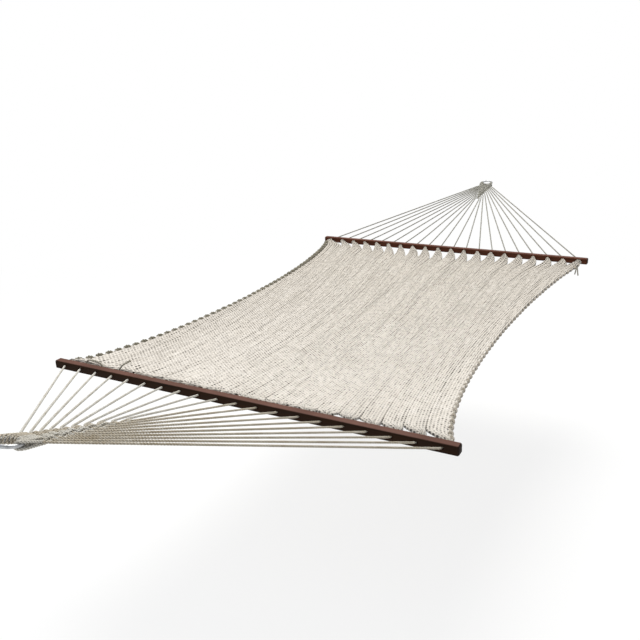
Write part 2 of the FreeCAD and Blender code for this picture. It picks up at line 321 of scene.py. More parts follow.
def knit_material():
    """The bed's knit: chevron stitches, a pit between each two painted dark as shadow, and long open
    streaks painted darker as shade.
    """
    made, tree, shader = new_material("soft knit bed")
    split = parts_of(tree, put(tree, "UVMap", {"uv_map": "knit"}).outputs["UV"])
    across, pit, chance = knit_pits(tree, split[0], split[1])
    slant = maths(tree, "FRACT", maths(tree, "ADD", split[1], across))
    leg = maths(tree, "SINE", maths(tree, "MULTIPLY", slant, math.pi))
    tree.links.new(knit_colour(tree, leg, pit, chance), shader.inputs["Base Color"])
    fibres = use_group(tree, FIBRES, Fineness=1100.0)
    lifted = maths(tree, "MULTIPLY_ADD", fibres["Height"], 0.35, leg)
    height = maths(tree, "SUBTRACT", lifted, maths(tree, "MULTIPLY", pit, 1.4))
    add_bump(tree, shader, height, 0.8, 0.0014)
    rough = maths(tree, "MULTIPLY_ADD", pit, 0.08, 0.86)
    tree.links.new(rough, shader.inputs["Roughness"])
    soften(shader, 0.2, 0.2)
    return made


def bed_side(tree, place):
    """1 on the foot bar and -1 on the head bar, which is the way from either bar to the bed."""
    at_head_bar = maths(tree, "GREATER_THAN", parts_of(tree, place)[0], HOOK_SPACING / 2)
    return maths(tree, "MULTIPLY_ADD", at_head_bar, -2.0, 1.0)


def wood_grain(tree, place):
    """Long grain and fine pores, both drawn out along the bar."""
    stretched = put(tree, "Mapping", None, {"Vector": place, "Scale": (60.0, 2.2, 60.0)}).outputs[0]
    grain = noise(tree, stretched, 3.0, 6.0, 0.65)
    fine_place = put(tree, "Mapping", None, {"Vector": place, "Scale": (420.0, 9.0, 420.0)}).outputs[0]
    return grain, noise(tree, fine_place, 2.0, 2.0)


def wood_colour(tree, place, grain, pores):
    """Dark stain, lighter and redder towards the bed as painted bounce light, darker outside as painted
    shade, with dust and painted light on top, painted shade underneath and dark ends.
    """
    facing = parts_of(tree, put(tree, "TexCoord").outputs["Normal"])
    inward = maths(tree, "MULTIPLY", facing[0], bed_side(tree, place))
    # Painted light: faces towards the bed lighter and redder as bounce light from the bed, outer faces
    # darker as painted shade.
    bed_bounce_light = ramp(tree, inward, -0.3, 0.6)
    bright = blend_colours(tree, bed_bounce_light, (0.024, 0.010, 0.0035, 1), (0.100, 0.032, 0.015, 1))
    dark = blend_colours(tree, bed_bounce_light, (0.012, 0.005, 0.002, 1), (0.045, 0.014, 0.007, 1))
    stained = blend_colours(tree, ramp(tree, grain, 0.35, 0.68), dark, bright)
    pore_share = ramp(tree, pores, 0.55, 0.75, 0.0, 0.6)
    pored = blend_colours(tree, pore_share, stained, (0.022, 0.009, 0.006, 1))
    # Dust on the top faces, together with painted light from above.
    top = ramp(tree, facing[2], 0.75, 0.98, 0.0, 0.55)
    patchy = ramp(tree, noise(tree, place, 9.0, 5.0), 0.25, 0.7, 0.45, 1.0)
    dust_and_top_light_share = maths(tree, "MULTIPLY", top, patchy)
    dust_and_top_light = blend_colours(tree, dust_and_top_light_share, pored, (0.21, 0.105, 0.082, 1))
    # Painted shade on the underside.
    under = ramp(tree, facing[2], -0.2, -0.9, 0.0, 0.75)
    shaded = blend_colours(tree, under, dust_and_top_light, (0.018, 0.008, 0.006, 1))
    end = ramp(tree, maths(tree, "ABSOLUTE", facing[1]), 0.4, 0.8, 0.0, 0.85)
    return blend_colours(tree, end, shaded, (0.014, 0.008, 0.006, 1))


def wood_material():
    """Red-brown stained hardwood: long grain, dust and painted light on top, painted bounce light on the
    faces towards the bed, painted shade on the outer faces and underneath, and dark ends.
    """
    made, tree, shader = new_material("red brown stained wood")
    place = object_place(tree)
    grain, pores = wood_grain(tree, place)
    tree.links.new(wood_colour(tree, place, grain, pores), shader.inputs["Base Color"])
    rough = ramp(tree, grain, 0.3, 0.7, 0.55, 0.75)
    tree.links.new(rough, shader.inputs["Roughness"])
    height = maths(tree, "SUBTRACT", grain, maths(tree, "MULTIPLY", pores, 0.7))
    add_bump(tree, shader, height, 0.35, 0.0006)
    shader.inputs["Specular IOR Level"].default_value = 0.07
    return made


def steel_material():
    """Galvanised ring: mottled zinc, with duller dirt and brighter specks."""
    made, tree, shader = new_material("galvanised steel")
    place = object_place(tree)
    cells = put(tree, "TexVoronoi", {"feature": "F1"}, {"Vector": place, "Scale": 260.0})
    mottle = parts_of(tree, cells.outputs["Color"])[0]
    zinc = blend_colours(tree, mottle, (0.33, 0.34, 0.35, 1), (0.52, 0.53, 0.54, 1))
    aged = use_group(tree, WEATHER, Base=zinc, Dirt=(0.20, 0.19, 0.18, 1),
                     Bleached=(0.62, 0.62, 0.61, 1), Amount=0.5, Scale=60.0)
    tree.links.new(aged["Color"], shader.inputs["Base Color"])
    shader.inputs["Metallic"].default_value = 0.9
    tree.links.new(ramp(tree, mottle, start=0.34, end=0.52), shader.inputs["Roughness"])
    add_bump(tree, shader, mottle, 0.25, 0.0003)
    return made


CORD_YARNS = 18.0
BORDER_YARNS = 12.0
CLEW_ROPE = rope_material("clew rope", (0.74, 0.72, 0.66, 1), (0.22, 0.19, 0.13, 1),
                          (0.50, 0.44, 0.33, 1), (0.82, 0.80, 0.76, 1), 0.55, CORD_YARNS)
# The clew rope again, warmer and darker: painted shade for the cords of one side.
SHADED_CLEW_ROPE = rope_material("clew rope in painted shade", (0.62, 0.56, 0.45, 1), (0.17, 0.125, 0.07, 1),
                           (0.38, 0.31, 0.20, 1), (0.76, 0.73, 0.66, 1), 0.6, CORD_YARNS)
# The clew rope again, much darker: painted shade for the head's cords.
HEAD_SHADE_ROPE = rope_material("head clew rope in painted shade", (0.34, 0.33, 0.29, 1), (0.09, 0.085, 0.06, 1),
                          (0.26, 0.25, 0.20, 1), (0.60, 0.58, 0.52, 1), 0.5, CORD_YARNS)
TIE_ROPE = rope_material("weathered tie rope", (0.56, 0.52, 0.43, 1), (0.13, 0.115, 0.08, 1),
                         (0.28, 0.25, 0.17, 1), (0.68, 0.65, 0.58, 1), 0.6, CORD_YARNS)
PALE_BORDER = rope_material("pale border rope", (0.60, 0.54, 0.46, 1), (0.15, 0.12, 0.08, 1),
                            (0.36, 0.31, 0.23, 1), (0.70, 0.66, 0.60, 1), 0.6, BORDER_YARNS)
# The border rope again, much darker: painted shade for the left side's wraps.
SHADED_BORDER = rope_material("border rope in painted shade", (0.27, 0.24, 0.17, 1), (0.07, 0.06, 0.04, 1),
                            (0.13, 0.115, 0.07, 1), (0.46, 0.43, 0.35, 1), 0.6, BORDER_YARNS)
KNIT = knit_material()
WOOD = wood_material()
STEEL = steel_material()


def dress_node(name, material):
    """Gives a CAD node its finish without touching its mesh."""
    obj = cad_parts[name]
    if not obj.material_slots:
        obj.data.materials.append(material)
    for held in obj.material_slots:
        held.material = material


# Rope making --------------------------------------------------------------------
def smooth_line(name, points):
    """The points of a smooth line that takes the route's points as its control points."""
    data = bpy.data.curves.new(name, "CURVE")
    data.dimensions = "3D"
    spline = data.splines.new("NURBS")
    spline.points.add(len(points) - 1)
    for control, point in zip(spline.points, points):
        control.co = (point[0], point[1], point[2], 1.0)
    spline.order_u = 3
    spline.use_endpoint_u = True
    spline.resolution_u = 12
    holder = bpy.data.objects.new(name, data)
    SCENE.collection.objects.link(holder)
    wire = bpy.data.meshes.new_from_object(holder)
    line = np.array([vertex.co for vertex in wire.vertices])
    bpy.data.objects.remove(holder)
    bpy.data.curves.remove(data)
    bpy.data.meshes.remove(wire)
    return line


def run_along(line):
    steps = np.linalg.norm(np.diff(line, axis=0), axis=1)
    return np.concatenate(([0.0], np.cumsum(steps)))


def evenly_spaced(line, step):
    run = run_along(line)
    count = max(2, int(round(run[-1] / step)) + 1)
    wanted = np.linspace(0.0, run[-1], count)
    return np.stack([np.interp(wanted, run, line[:, axis]) for axis in range(3)], axis=1)


def side_directions(line):
    """At each point of a line, two directions square to it that turn as little as they can."""
    ahead = np.gradient(line, axis=0)
    ahead /= np.linalg.norm(ahead, axis=1)[:, None]
    side = np.cross(ahead[0], (0.0, 0.0, 1.0))
    if np.linalg.norm(side) < 0.1:
        side = np.cross(ahead[0], (0.0, 1.0, 0.0))
    sides = []
    for direction in ahead:
        side = side - direction * side.dot(direction)
        side = side / np.linalg.norm(side)
        sides.append(side)
    sides = np.array(sides)
    return sides, np.cross(ahead, sides)


STRAND_OUTLINE = np.array([1.04, 0.95, 0.68, 0.95] * STRAND_COUNT)  # from tip to valley and back
ROUND_OUTLINE = np.array([1.0] * 6)


def tube_points(line, run, diameter, lay, outline):
    """A ring of points at each point of the line, turned once per lay, then the line's two ends."""
    around = len(outline)
    sides, ups = side_directions(line)
    angle = 2 * math.pi * (run[:, None] / lay + np.arange(around)[None, :] / around)
    reach = outline[None, :] * diameter / 2
    rings = (line[:, None, :] + (reach * np.cos(angle))[:, :, None] * sides[:, None, :]
             + (reach * np.sin(angle))[:, :, None] * ups[:, None, :])
    return np.concatenate((rings.reshape(-1, 3), line[:1], line[-1:]))


def tube_faces(rows, around):
    """Four-sided faces between following rings, then a fan of triangles over each end."""
    row, column = np.meshgrid(np.arange(rows - 1), np.arange(around), indexing="ij")
    following = (column + 1) % around
    walls = np.stack((row * around + column, row * around + following,
                      (row + 1) * around + following, (row + 1) * around + column), axis=-1)
    turn = np.arange(around)
    after = (turn + 1) % around
    first, last = rows * around, rows * around + 1
    base = (rows - 1) * around
    start_cap = np.stack((np.full(around, first), after, turn), axis=-1)
    end_cap = np.stack((np.full(around, last), base + turn, base + after), axis=-1)
    return walls.reshape(-1, 4).tolist() + start_cap.tolist() + end_cap.tolist()


def tube_map(run, lay, around):
    """For each face's corners, how far round the rope and how many lays along it."""
    row, column = np.meshgrid(np.arange(len(run) - 1), np.arange(around), indexing="ij")
    low_u, high_u = column / around, (column + 1) / around
    low_v, high_v = run[row] / lay, run[row + 1] / lay
    places = [np.stack((low_u, low_v, high_u, low_v, high_u, high_v, low_u, high_v), axis=-1)]
    turn = np.arange(around)
    for lays in (0.0, run[-1] / lay):
        level = np.full(around, lays)
        places.append(np.stack((turn / around, level, (turn + 1) / around, level,
                                turn / around, level), axis=-1))
    return np.concatenate([place.ravel() for place in places])


def tube_mesh(name, line, diameter, lay, outline=STRAND_OUTLINE):
    """A closed rope along the line, its outline turning once per lay."""
    run = run_along(line)
    points = tube_points(line, run, diameter, lay, outline)
    mesh = bpy.data.meshes.new(name)
    mesh.from_pydata(points.tolist(), [], tube_faces(len(line), len(outline)))
    layer = mesh.uv_layers.new(name="lay")
    layer.data.foreach_set("uv", tube_map(run, lay, len(outline)))
    mesh.shade_smooth()
    return mesh


def new_piece(name, mesh, material):
    obj = bpy.data.objects.new(name, mesh)
    SCENE.collection.objects.link(obj)
    mesh.materials.append(material)
    return obj


def rope_piece(name, route, diameter, lay, material):
    """A laid rope along a route. Gives the piece and the points that it follows."""
    line = evenly_spaced(smooth_line(name, route), lay / SECTIONS_PER_LAY)
    return new_piece(name, tube_mesh(name, line, diameter, lay), material), line


# Clews --------------------------------------------------------------------------
COLUMN_PITCH = 0.0065
LAYER_OFFSET = 0.0052  # of a warp from the weave's middle plane
PASS_OFFSET = 0.0017  # between the two strings of a cord where they swap layers
CROSSING_OFFSET = 0.0033  # of the two crossings of a row from its middle
STEP_BACK = 0.004  # of a crossing string from its column, before it turns into it
STEP_IN = 0.003  # inside the weave's side, and past the column
WARP_REACH = 0.2  # of the row pitch, to either side of a row, where a warp keeps its layer
RING_PITCH = math.radians(18.5)  # between two cords on the ring
CORD_RANKS = HOLE_COUNT // 4  # cords on either side of a clew
BIGHT_REACH = 0.010  # of a turn's ends from the ring's wire


def clew_place(distance, side, height):
    """A point in the foot clew's sloping frame, measured from the ring's centre."""
    return RING_CENTRE + DOWN * distance + ACROSS * side + NORMAL * height


def row_distance(rows, row):
    even = rows["first"] + rows["pitch"] * (row - 1)
    return even + rows["stretch"] * max(0, row - EVEN_ROWS) ** 2


def weave_half_width(rows, row):
    last = row_distance(rows, WEAVE_ROWS)
    from_tip = (last - row_distance(rows, row)) / (last - rows["first"])
    return (WEAVE_TIP_WIDTH + (WEAVE_MOUTH_WIDTH - WEAVE_TIP_WIDTH) * from_tip) / 2


def leg_points(rows, row, side, hole):
    """A taut leg, from its hole in the bar to the weave's side."""
    leave = clew_place(row_distance(rows, row), side * (weave_half_width(rows, row) + CORD), 0.0)
    mouth = Vector((BAR_OUTER_X + MOUTH_DEPTH, HOLE_YS[hole], BAR_Z))
    end = Vector((BAR_INNER_X, HOLE_YS[hole], BAR_Z))
    along = (mouth - leave).normalized()
    return [end, mouth, mouth - along * (end - mouth).length, leave + along * STRAIGHT, leave]


def middle_offset(rank):
    """How many places a cord stands from the middle of its clew."""
    return CORD_RANKS - 0.5 - rank


def string_points(rows, rank, side, row, hole, layer):
    """Half a clew cord: leg, crossing of the weave at its row, then up the weave to the ring."""
    column = side * COLUMN_PITCH * middle_offset(rank)
    points = leg_points(rows, row, -side, hole)
    crossing = row_distance(rows, row) - side * CROSSING_OFFSET
    points.append(clew_place(crossing, -side * (weave_half_width(rows, row) - STEP_IN), 0.0))
    points.append(clew_place(crossing, column - side * STEP_BACK, 0.0))
    points.append(clew_place(crossing - 0.001, column + side * STEP_IN, 0.0))
    for passed in range(row - 1, 0, -1):
        height = LAYER_OFFSET * layer * (-1) ** (passed + 1)
        place = column + PASS_OFFSET * layer
        reach = WARP_REACH * rows["pitch"]
        points.append(clew_place(row_distance(rows, passed) + reach, place, height))
        points.append(clew_place(row_distance(rows, passed) - reach, place, height))
    return points


def ring_bight(rank, side):
    """The turn of a cord round the ring's wire."""
    angle = side * RING_PITCH * middle_offset(rank)
    centre = clew_place(RING_RADIUS * math.cos(angle), RING_RADIUS * math.sin(angle), 0.0)
    outward = DOWN * math.cos(angle / 2) + ACROSS * math.sin(angle / 2)
    return [centre + outward * BIGHT_REACH + NORMAL * TURN_RADIUS,
            centre - outward * TURN_RADIUS + NORMAL * TURN_RADIUS,
            centre - outward * TURN_RADIUS - NORMAL * TURN_RADIUS,
            centre + outward * BIGHT_REACH - NORMAL * TURN_RADIUS]


def clew_route(rows, rank, side):
    """A whole clew cord. Rank 0 stands outermost on the ring; its legs end on the other side."""
    row = 2 * rank + 1
    first_hole = HOLE_COUNT - 1 - 2 * rank if side > 0 else 2 * rank
    second_hole = first_hole - side
    upper = string_points(rows, rank, side, row, first_hole, 1)
    lower = string_points(rows, rank, side, row + 1, second_hole, -1)
    return upper + ring_bight(rank, side) + lower[::-1]


def at_head(point):
    """A foot place turned half round the upright line halfway between the rings."""
    return Vector((HOOK_SPACING - point[0], -point[1], point[2]))


def blend_ring(obj, end):
    """Bakes the cord's placement into its mesh, the same way at the foot and at the head."""
    if end == "foot":
        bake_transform(obj)
    else:
        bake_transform(obj)


def make_clew_rope(end, rows, side, rank, material):
    route = clew_route(rows, rank, side)
    if end == "head":
        route = [at_head(point) for point in route]
    node = HOLE_COUNT // 2 - rank if side > 0 else rank + 1
    obj, line = rope_piece(f"{end}_clew_rope_{node:02d}", route, CORD, CORD_LAY, material)
    blend_ring(obj, end)
    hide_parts(f"{end}_clew_cord_{node:02d}", f"{end}_ring_turns", f"{end}_clew_weave")


def make_clews():
    for side, material in ((1, SHADED_CLEW_ROPE), (-1, CLEW_ROPE)):
        for rank in range(CORD_RANKS):
            make_clew_rope("foot", FOOT_ROWS, side, rank, material)
    for side in (1, -1):
        for rank in range(CORD_RANKS):
            make_clew_rope("head", HEAD_ROWS, side, rank, HEAD_SHADE_ROPE)


# Knots --------------------------------------------------------------------------
KNOT_TURNS = 2.25
KNOT_POINTS_PER_TURN = 8
KNOT_FIRST_TURN = 0.0035  # where the first turn starts, from the bar's face
KNOT_TURNS_LENGTH = 0.0075
KNOT_SLANT = 0.0012  # of the turns along the rope
KNOT_TILT_STEP = 1.7  # radians from one knot to the next, so that no two look alike


def knot_route(tilt):
    """A round stopper knot on the X axis, two turns laid over the rope that comes out of the bar."""
    radius = (KNOT_DIAMETER - CORD) / 2
    count = int(KNOT_TURNS * KNOT_POINTS_PER_TURN)
    points = [Vector((-0.002, 0, 0)), Vector((0.002, 0, 0))]
    for i in range(count + 1):
        angle = 2 * math.pi * i / KNOT_POINTS_PER_TURN + tilt
        along = KNOT_FIRST_TURN + KNOT_TURNS_LENGTH * i / count + KNOT_SLANT * math.sin(angle + tilt)
        points.append(Vector((along, radius * math.cos(angle), radius * math.sin(angle))))
    points.append(Vector((KNOT_LENGTH, 0, 0)))
    points.append(Vector((KNOT_LENGTH + 0.006, 0, 0)))
    return points


def make_knots():
    for end in ("foot", "head"):
        for i, y in enumerate(HOLE_YS):
            place = Vector((BAR_INNER_X, y, BAR_Z))
            route = [place + point for point in knot_route(KNOT_TILT_STEP * i)]
            if end == "head":
                route = [at_head(point) for point in route]
            obj, _ = rope_piece(f"{end}_knot_{i + 1:02d}", route, CORD, CORD_LAY, TIE_ROPE)
            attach(obj, f"{end}_half")
            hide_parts(f"{end}_knots")


# Edge ropes and loose ends ------------------------------------------------------
def share_along(x):
    return (x - BAR_OUTER_X) / BAR_SPACING


def bow(share):
    return 4 * share * (1 - share)


def edge_half_width(x):
    share = share_along(x)
    skew = 1 - NET_EDGE_SKEW * (2 * share - 1)
    return NET_END_HALF_WIDTH - NET_WAIST_PULL * bow(share) ** NET_EDGE_POWER * skew


def edge_z(x):
    return BAR_Z - NET_EDGE_SAG * bow(share_along(x)) ** NET_SAG_POWER


def middle_z(x):
    return BAR_Z - NET_MIDDLE_SAG * bow(share_along(x)) ** NET_SAG_POWER


def knot_side(x, side):
    outward = (KNOT_DIAMETER + EDGE_ROPE) / 2 + 3 * TIE_GAP
    return Vector((x, side * (HOLE_YS[0] + outward), BAR_Z))


def edge_point(x, side):
    return Vector((x, side * edge_half_width(x), edge_z(x)))


def edge_route(side):
    """From the foot bar's last knot, along the net's side, to the head bar's last knot."""
    stations = [NET_START_X + (NET_END_X - NET_START_X) * i / (NET_STATIONS - 1)
                for i in range(NET_STATIONS)]
    points = [knot_side(BAR_INNER_X + KNOT_LENGTH / 2, side)]
    points.append(edge_point(NET_START_X - LOOP_LENGTH / 3, side))
    points += [edge_point(x, side) for x in stations]
    points.append(edge_point(NET_END_X + LOOP_LENGTH / 2, side))
    points.append(knot_side(HEAD_INNER_X - KNOT_LENGTH / 2, side))
    return points


def blend_bed(obj):
    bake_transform(obj)


def make_edge_ropes():
    """Both side ropes. Gives each one's line, left first."""
    lines = []
    for name, side in (("left", 1), ("right", -1)):
        obj, line = rope_piece(f"{name}_side_rope", edge_route(side), EDGE_ROPE, EDGE_LAY, TIE_ROPE)
        blend_bed(obj)
        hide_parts(f"{name}_edge_rope", "head_edge_ends")
        lines.append(line)
    return lines


WRAP_PITCH = 0.038
WRAP_TURNS = 3
WRAP_LAY = 0.016
WRAP_TAPER = 0.22  # by how much the outer turns are smaller
WRAP_SLANT = 0.004
WRAP_POINTS = 11
WRAP_INSET = 0.0015  # of a wrap's middle from the side rope's, towards the net
WRAPS = {"left": {"rope": 0.0085, "reach": 0.0094, "rise": 0.0095, "step": 0.0082},
         "right": {"rope": 0.0050, "reach": 0.0052, "rise": 0.0054, "step": 0.0048}}


def wrap_ring(centre, ahead, outward, reach, rise):
    """One turn of a bight round the side rope, closed on itself."""
    upward = np.cross(ahead, outward)
    turn = np.linspace(0, 2 * math.pi, WRAP_POINTS)
    across = np.outer(np.cos(turn) * reach, outward)
    height = np.outer(np.sin(turn) * rise, upward)
    slide = np.outer(np.sin(turn) * WRAP_SLANT, ahead)
    return centre + across + height + slide


def wrap_meshes(middle, ahead, outward, size, wrap):
    """The turns of one bight, the middle one the largest."""
    meshes = []
    for turn in range(WRAP_TURNS):
        off_middle = turn - (WRAP_TURNS - 1) / 2
        swell = size * (1.0 - WRAP_TAPER * abs(off_middle))
        centre = middle + ahead * off_middle * wrap["step"] - outward * WRAP_INSET
        loop = wrap_ring(centre, ahead, outward, wrap["reach"] * swell, wrap["rise"] * swell)
        meshes.append(tube_mesh("wrap", loop, wrap["rope"], WRAP_LAY, ROUND_OUTLINE))
    return meshes


def make_wraps(name, side, line, seed, material):
    """The bights that tie the net's border to one side rope, as one piece."""
    spaced = evenly_spaced(line, WRAP_PITCH)
    chance = np.random.default_rng(seed)
    meshes = []
    for before, middle, after in zip(spaced, spaced[1:], spaced[2:]):
        ahead = after - before
        ahead /= np.linalg.norm(ahead)
        outward = np.cross(ahead, (0.0, 0.0, side))
        outward /= np.linalg.norm(outward)
        meshes += wrap_meshes(middle, ahead, outward, chance.uniform(0.9, 1.1), WRAPS[name])
    blend_bed(joined_piece(f"{name}_side_wraps", meshes, material))


def joined_piece(name, meshes, material):
    """Several meshes as one piece."""
    parts = [new_piece(f"{name}_{i}", mesh, material) for i, mesh in enumerate(meshes)]
    bpy.ops.object.select_all(action="DESELECT")
    for part in parts:
        part.select_set(True)
    bpy.context.view_layer.objects.active = parts[0]
    bpy.ops.object.join()
    parts[0].name = name
    parts[0].data.name = name
    bpy.ops.object.select_all(action="DESELECT")
    return parts[0]


def loose_rope(name, start, steps, body, node):
    """A short rope end or bight from a bar's knots. Steps are the way from its start to each point."""
    route = [start + Vector(step) for step in steps]
    obj, line = rope_piece(name, route, CORD, CORD_LAY, TIE_ROPE)
    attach(obj, body)
    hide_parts(node)


def make_slack_bight(knot_x, top):
    """The slack that stands up between the second knot and the third."""
    gap = HOLE_YS[2] - HOLE_YS[1]
    steps = [(0, 0, 0), (-0.001, -0.003, 0.009), (-0.002, -0.016, BIGHT_HEIGHT),
             (-0.002, gap + 0.018, BIGHT_HEIGHT), (-0.001, gap + 0.003, 0.009), (0, gap, 0)]
    loose_rope("foot_slack_bight", Vector((knot_x, HOLE_YS[1], top)), steps, "foot_half",
               "foot_slack_loop")


def make_loose_ends():
    """The slack bight and the bare end on the foot bar, and two ends hanging from the head bar."""
    knot_x = BAR_INNER_X + KNOT_LENGTH / 2
    top = BAR_Z + KNOT_DIAMETER / 2 + TIE_GAP
    make_slack_bight(knot_x, top)
    steps = [(0, 0, 0), (0.001, -0.002, 0.008), (0.014, -0.012, 0.019), (0.030, -0.024, 0.024)]
    loose_rope("foot_rope_end", Vector((knot_x, HOLE_YS[3] - 0.006, top)), steps, "foot_half",
               "foot_tail")
    start = Vector((HEAD_INNER_X - KNOT_LENGTH / 2, HOLE_YS[-1], BAR_Z - KNOT_DIAMETER / 2 - TIE_GAP))
    for name, way in (("near", -1), ("far", 1)):
        steps = [(0.0035 * way, 0, 0), (0.0035 * way, 0.002 * way, -TAIL_LENGTH * 0.4),
                 (0.00875 * way, 0.009 * way, -TAIL_LENGTH)]
        loose_rope(f"head_rope_end_{name}", start, steps, "head_half", "head_tails")


# Net ----------------------------------------------------------------------------
WALES_PER_STRIP = 7
WALES = HOLE_COUNT * WALES_PER_STRIP
COURSES = 150
STITCH_STEPS = 4  # mesh steps across a wale and along a course
STRIPS_PER_PIECE = 4
TIP_INSET = 0.010  # of a tongue's tip inside its knot
TIP_HALF_WIDTH = 0.007
NET_THICKNESS = 0.0065
RELIEF = 0.0011
GAP_LEAN = 0.038  # how far the head gaps' bottoms stand to the right of the middle
GAP_SPREAD = 0.12  # of the chance in the depth of a gap
BORDER_INSET = 0.0045  # of the net's outer stitches from the middle of the side rope
STREAK_LEAN = 0.19  # wales per course, by which the open streaks lean off the wales
STREAK_WAVES = 14
END_SLOPE = 0.070  # the bed leaves the bars' level over this length
CROWN = 0.007  # of a tongue's middle over its borders
RIPPLE = 0.0026
WAVE = 0.003
HEM_INSET = 0.040  # of the line along which the border dips
HEM_DIP = 0.004
WANDER = 0.0012  # of the courses along the bed


def gap_depths(seed):
    """How far the gap between two tongues runs from each bar, foot and head, for each border."""
    chance = np.random.default_rng(seed)
    where = 1 - 2 * np.arange(HOLE_COUNT + 1) / HOLE_COUNT
    foot = 0.024 + 0.050 * np.clip((-where - 0.15) / 0.85, 0, 1)
    head = 0.095 - np.where(where > 0, 0.055, 0.035) * where ** 2
    foot *= chance.uniform(1 - GAP_SPREAD, 1 + GAP_SPREAD, HOLE_COUNT + 1)
    head *= chance.uniform(1 - GAP_SPREAD, 1 + GAP_SPREAD, HOLE_COUNT + 1)
    return foot, head


def gap_shape(share):
    """A gap's side from its tip, 0, to its bottom, 1: slightly bowed."""
    share = np.clip(share, 0, 1)
    return 0.45 * share + 0.55 * np.sin(math.pi / 2 * share)


def side_line(strip, lines):
    return lines[0] if strip < HOLE_COUNT / 2 else lines[1]


def strip_border(index, strip, xs, line, gaps):
    """One long border of a strip: at its tongue's tip, along a gap, then shared with its neighbour."""
    if index in (0, HOLE_COUNT):
        side = 1 if index == 0 else -1
        rope_y = np.interp(xs, line[:, 0], line[:, 1])
        scallop = np.abs(np.sin(math.pi * (xs - BAR_INNER_X) / WRAP_PITCH))
        return rope_y + side * (0.0046 - 0.0022 * scallop)
    shared = (edge_half_width(xs) - BORDER_INSET) * (1 - 2 * index / HOLE_COUNT)
    shared = shared - GAP_LEAN * np.exp(-(xs[-1] - xs) / 0.12)
    tip = HOLE_YS[strip] + TIP_HALF_WIDTH * (1 if index == strip else -1)
    from_foot = gap_shape((xs - xs[0]) / gaps[0][index])
    from_head = gap_shape((xs[-1] - xs) / gaps[1][index])
    return shared + (tip - shared) * ((1 - from_foot) + (1 - from_head))


def streaks(wales, courses, seed):
    """How open the knit is, 0 to 1: long streaks that lean a little off the wales."""
    chance = np.random.default_rng(seed)
    wales = wales + STREAK_LEAN * courses
    total = np.zeros_like(wales)
    for _ in range(STREAK_WAVES):
        fast, slow = chance.uniform(0.03, 0.45), chance.uniform(-0.020, 0.020)
        phase = chance.uniform(0, 2 * math.pi)
        total += np.sin(2 * math.pi * (fast * wales + slow * courses) + phase)
    return 1 / (1 + np.exp(-1.7 * (total - 3.0)))


def strip_plan(strip, lines, gaps):
    """A strip from above, row by row from foot to head, and each row's share of its full width."""
    rows, columns = STITCH_STEPS * COURSES + 1, STITCH_STEPS * WALES_PER_STRIP + 1
    tip_x = BAR_INNER_X + TIP_INSET
    xs = np.linspace(tip_x, HOOK_SPACING - tip_x, rows)
    line = side_line(strip, lines)
    left = strip_border(strip, strip, xs, line, gaps)
    right = strip_border(strip + 1, strip, xs, line, gaps)
    across = np.linspace(0, 1, columns)[None, :]
    y = left[:, None] + (right - left)[:, None] * across
    x = np.repeat(xs[:, None], columns, axis=1)
    gather = np.clip((left - right) / (HOLE_PITCH * 0.8), 0.15, 1)[:, None]
    return x, y, across, gather


def strip_height(strip, x, y, across, wale, course):
    """The bed's level, a crown and ripples on each tongue, soft waves and a dip inside the border."""
    half = edge_half_width(x)
    level = middle_z(x) + (edge_z(x) - middle_z(x)) * np.clip(np.abs(y) / half, 0, 1) ** 2
    from_end = np.minimum(x - x[0], x[-1] - x)
    settle = np.clip(from_end / END_SLOPE, 0, 1)
    z = BAR_Z + (level - BAR_Z) * settle * settle * (3 - 2 * settle)
    crown = 1 - (2 * across - 1) ** 2
    z = z + CROWN * (crown - 0.5) * np.exp(-from_end / 0.11)
    z = z + RIPPLE * np.sin(6 * math.pi * across + strip) * np.exp(-from_end / 0.10)
    z = z + WAVE * np.sin(course * 0.031 + wale * 0.10) * np.sin(wale * 0.21 + 1.0)
    from_hem = half - np.abs(y) - HEM_INSET
    return z - HEM_DIP * np.exp(-(from_hem / 0.012) ** 2) * np.clip(from_end / 0.2, 0, 1)


def strip_openness(x, across, wale, course):
    """How open the knit is, 0 to 1: streaks, creases at the gaps and looser rows at both bars."""
    from_foot, to_head = x - x[0], x[-1] - x
    streaked = 0.45 * streaks(wale, course, 3) + 0.55 * streaks(wale * 2.1, course * 1.7, 4)
    near_border = np.exp(-(np.minimum(across, 1 - across) * WALES_PER_STRIP / 0.8) ** 2)
    crease = near_border * (np.exp(-np.clip(from_foot - 0.03, 0, None) / 0.05)
                            + np.exp(-np.clip(to_head - 0.06, 0, None) / 0.10))
    to_right = wale / WALES
    right_half = np.clip(to_right - 0.3, 0, 1)
    loose_rows = (0.4 + right_half) * np.exp(-from_foot / 0.045) + 0.9 * np.exp(-to_head / 0.06)
    loose_rows = loose_rows + 0.15 * np.exp(-to_head / 0.5)
    loose_rows = loose_rows + 0.35 * np.exp(-wale / 9.0) * np.clip(from_foot / 0.3, 0, 1)
    worn = np.clip(0.35 + 0.65 * (from_foot / 1.4) + 0.4 * (0.5 - to_right), 0.2, 1)
    return np.clip(1.5 * streaked * worn + 0.8 * crease + loose_rows, 0, 1)


def strip_grid(strip, lines, gaps):
    """Middle surface, openness, gathering and map of one strip, row by row from foot to head."""
    x, y, across, gather = strip_plan(strip, lines, gaps)
    wale = strip * WALES_PER_STRIP + across * WALES_PER_STRIP + 0 * x
    course = np.linspace(0, COURSES, len(x))[:, None] + 0 * x
    z = strip_height(strip, x, y, across, wale, course)
    from_end = np.minimum(x - x[0], x[-1] - x)
    wander = np.sin(wale * 0.9 + course * 0.05) * np.sin(course * 0.011 * math.pi)
    x = x + WANDER * wander * np.clip(from_end / 0.1, 0, 1)
    return x, y, z, strip_openness(x, across, wale, course), gather, wale, course


